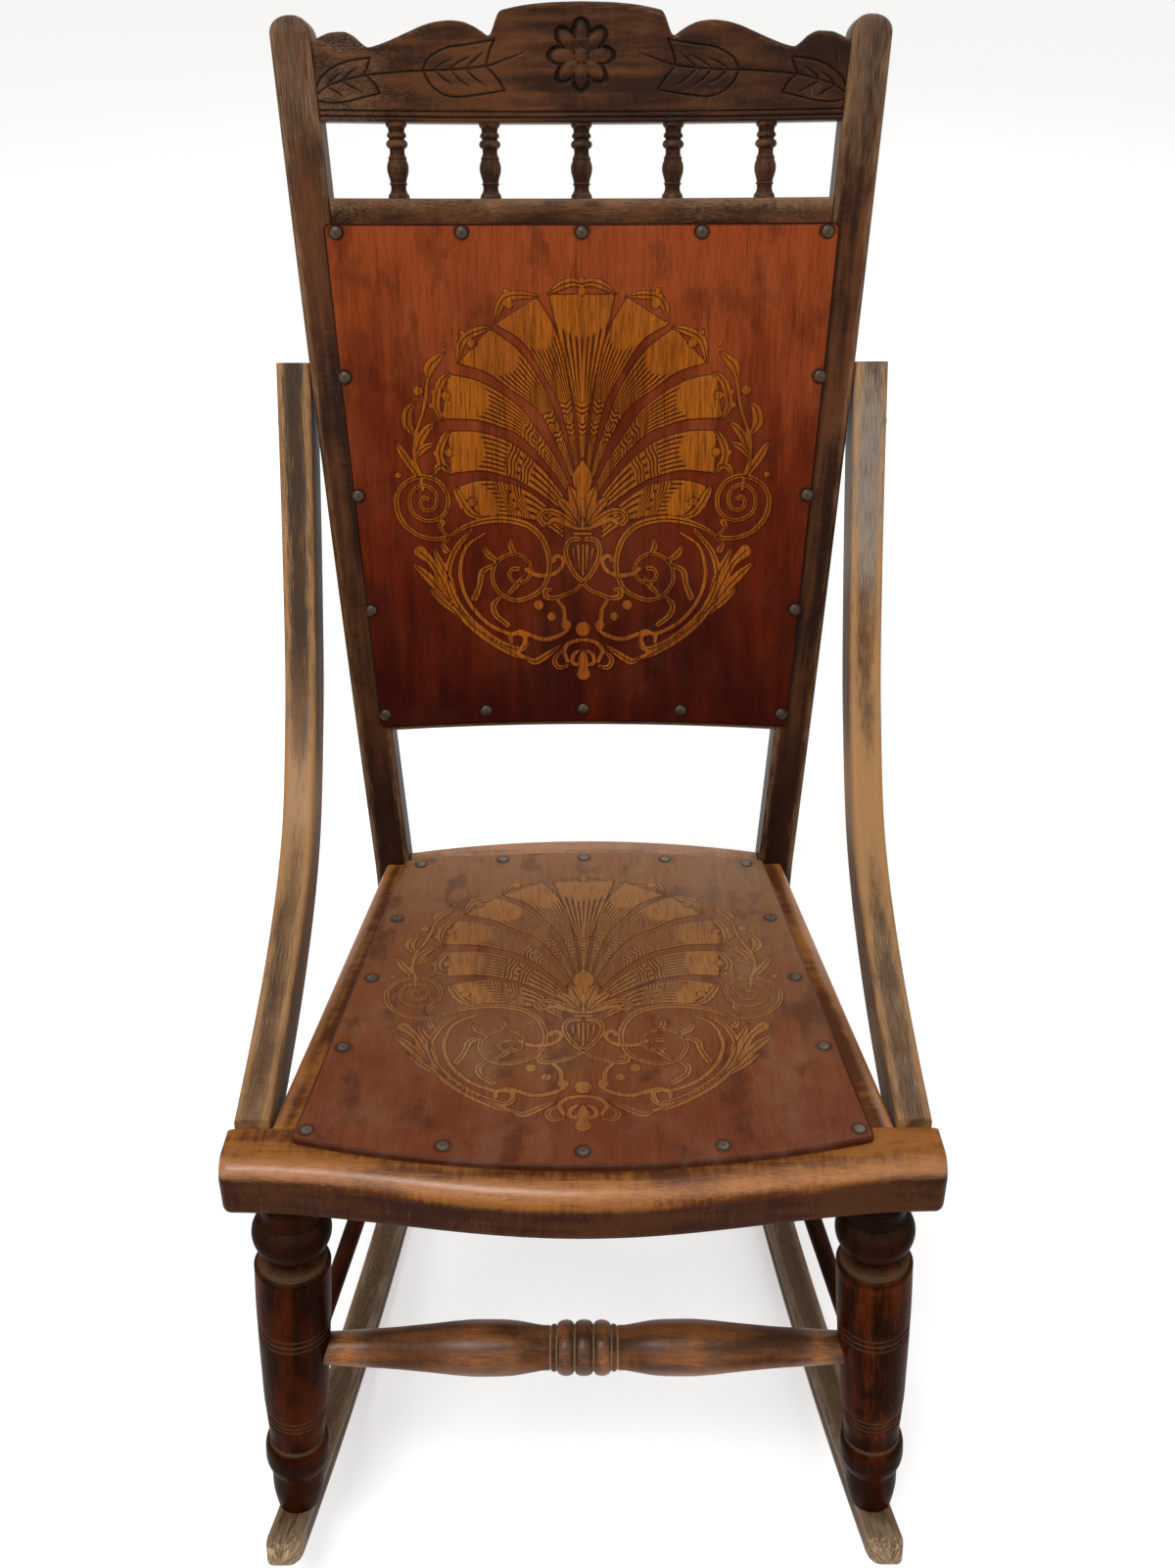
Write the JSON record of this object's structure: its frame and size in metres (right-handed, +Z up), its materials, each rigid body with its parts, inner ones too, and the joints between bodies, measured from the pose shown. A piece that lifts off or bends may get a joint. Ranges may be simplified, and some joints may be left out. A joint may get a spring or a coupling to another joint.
{
  "type": "rocking chair",
  "caption": "Armless wooden rocking chair on bow rockers, with a shaped crest over turned spindles, a nailed pressed back panel and seat panel, bent side stays and turned front legs.",
  "frame": {"origin": "centre of the bounding box on the floor plane under the rockers, z = 0 at the floor", "axes": "+Z up, -Y the way the sitter faces, +X to the sitter's left, which is the viewer's right from in front"},
  "size_m": [0.4712, 0.7542, 0.9556],
  "materials": {
    "dark_stained_birch": "dark espresso-brown stained birch, satin, rubbed grey on the edges",
    "worn_stained_birch": "brown stained bent birch, stain worn grey, orange along the rubbed edges",
    "orange_worn_birch": "orange-brown shellacked birch, polished by wear",
    "red_brown_stained_birch": "dark red-brown stained turned birch, satin",
    "dusty_worn_birch": "brown stained birch, top worn and dusty, chipped at the tips",
    "glossy_pressed_board": "glossy cherry-red stained pressed fibreboard with golden raised ornament",
    "worn_pressed_board": "pressed fibreboard, worn and dusty, with golden raised ornament",
    "antique_brass": "dark antiqued brass domed nail",
    "old_steel": "worn grey steel"
  },
  "bodies": {
    "root": {"crest_rail": "dark_stained_birch", "upper_back_rail": "dark_stained_birch", "lower_back_rail": "dark_stained_birch", "back_post_left": "dark_stained_birch", "back_post_right": "dark_stained_birch", "back_panel": "glossy_pressed_board", "seat_panel": "worn_pressed_board", "spindle_1": "dark_stained_birch", "spindle_2": "dark_stained_birch", "spindle_3": "dark_stained_birch", "spindle_4": "dark_stained_birch", "spindle_5": "dark_stained_birch", "back_nail_1": "antique_brass", "back_nail_2": "antique_brass", "back_nail_3": "antique_brass", "back_nail_4": "antique_brass", "back_nail_5": "antique_brass", "back_nail_6": "antique_brass", "back_nail_7": "antique_brass", "back_nail_8": "antique_brass", "back_nail_9": "antique_brass", "back_nail_10": "antique_brass", "back_nail_11": "antique_brass", "back_nail_12": "antique_brass", "back_nail_13": "antique_brass", "back_nail_14": "antique_brass", "back_nail_15": "antique_brass", "back_nail_16": "antique_brass", "seat_nail_1": "old_steel", "seat_nail_2": "old_steel", "seat_nail_3": "old_steel", "seat_nail_4": "old_steel", "seat_nail_5": "old_steel", "seat_nail_6": "old_steel", "seat_nail_7": "old_steel", "seat_nail_8": "old_steel", "seat_nail_9": "old_steel", "seat_nail_10": "old_steel", "seat_nail_11": "old_steel", "seat_nail_12": "old_steel", "seat_nail_13": "old_steel", "seat_nail_14": "old_steel", "seat_nail_15": "old_steel", "seat_nail_16": "old_steel", "front_rail": "orange_worn_birch", "side_rail_left": "orange_worn_birch", "side_rail_right": "orange_worn_birch", "rear_rail": "orange_worn_birch", "side_stay_left": "worn_stained_birch", "side_stay_right": "worn_stained_birch", "stay_screw_left": "old_steel", "stay_screw_right": "old_steel", "front_leg_left": "red_brown_stained_birch", "front_leg_right": "red_brown_stained_birch", "front_stretcher": "red_brown_stained_birch", "side_stretcher_left": "red_brown_stained_birch", "side_stretcher_right": "red_brown_stained_birch", "rear_stretcher": "red_brown_stained_birch", "rocker_left": "dusty_worn_birch", "rocker_right": "dusty_worn_birch"}
  },
  "joints": []
}
